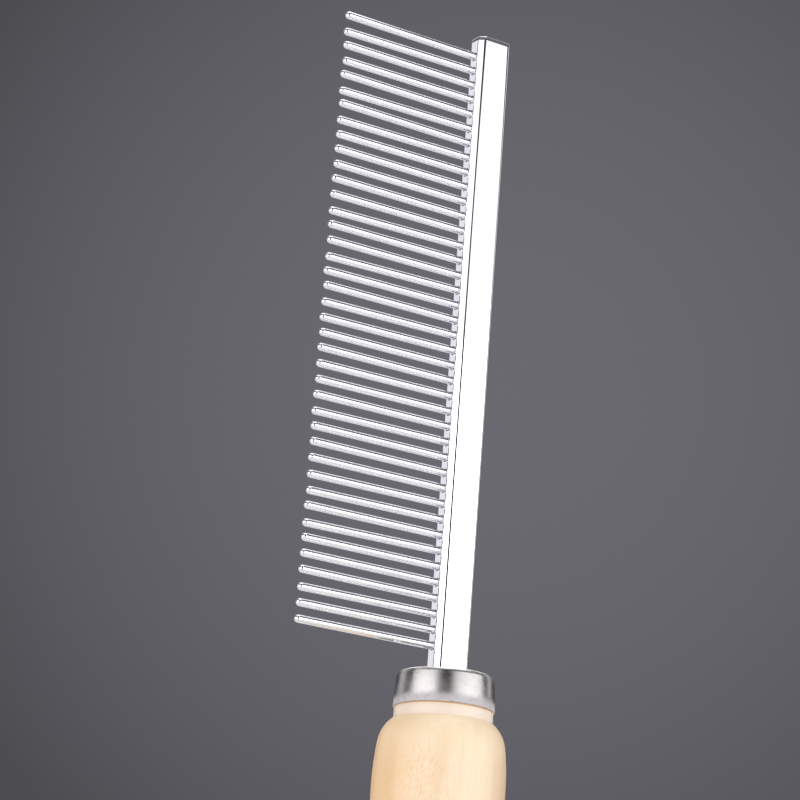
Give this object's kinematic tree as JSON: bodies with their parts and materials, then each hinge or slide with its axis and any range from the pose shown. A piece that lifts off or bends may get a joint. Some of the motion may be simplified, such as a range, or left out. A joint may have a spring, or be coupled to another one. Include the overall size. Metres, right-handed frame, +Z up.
{
  "type": "grooming comb",
  "caption": "Pet grooming comb: a row of round steel pins in a chamfered steel bar, with a steel ferrule and a turned wooden handle.",
  "frame": {"origin": "middle of the flat end of the handle, on the handle's axis, where the comb stands", "axes": "+Z up the handle and the bar to the comb's free end; the pins point along -X; the bar's two broad faces look along -Y (front) and +Y (back)"},
  "size_m": [0.0454, 0.0246, 0.2375],
  "materials": {
    "plated_steel": "bright chrome plate, softly polished edges",
    "ferrule_steel": "satin nickel-like plate, lightly dented and scuffed",
    "handle_wood": "pale turned hardwood, thin satin varnish, fine lengthwise grain"
  },
  "bodies": {
    "root": {"handle": "handle_wood", "ferrule": "ferrule_steel", "spine": "plated_steel", "pin_01": "plated_steel", "pin_02": "plated_steel", "pin_03": "plated_steel", "pin_04": "plated_steel", "pin_05": "plated_steel", "pin_06": "plated_steel", "pin_07": "plated_steel", "pin_08": "plated_steel", "pin_09": "plated_steel", "pin_10": "plated_steel", "pin_11": "plated_steel", "pin_12": "plated_steel", "pin_13": "plated_steel", "pin_14": "plated_steel", "pin_15": "plated_steel", "pin_16": "plated_steel", "pin_17": "plated_steel", "pin_18": "plated_steel", "pin_19": "plated_steel", "pin_20": "plated_steel", "pin_21": "plated_steel", "pin_22": "plated_steel", "pin_23": "plated_steel", "pin_24": "plated_steel", "pin_25": "plated_steel", "pin_26": "plated_steel", "pin_27": "plated_steel", "pin_28": "plated_steel", "pin_29": "plated_steel", "pin_30": "plated_steel", "pin_31": "plated_steel", "pin_32": "plated_steel", "pin_33": "plated_steel", "pin_34": "plated_steel", "pin_35": "plated_steel", "pin_36": "plated_steel", "pin_37": "plated_steel", "pin_38": "plated_steel", "pin_39": "plated_steel", "pin_40": "plated_steel"}
  },
  "joints": []
}
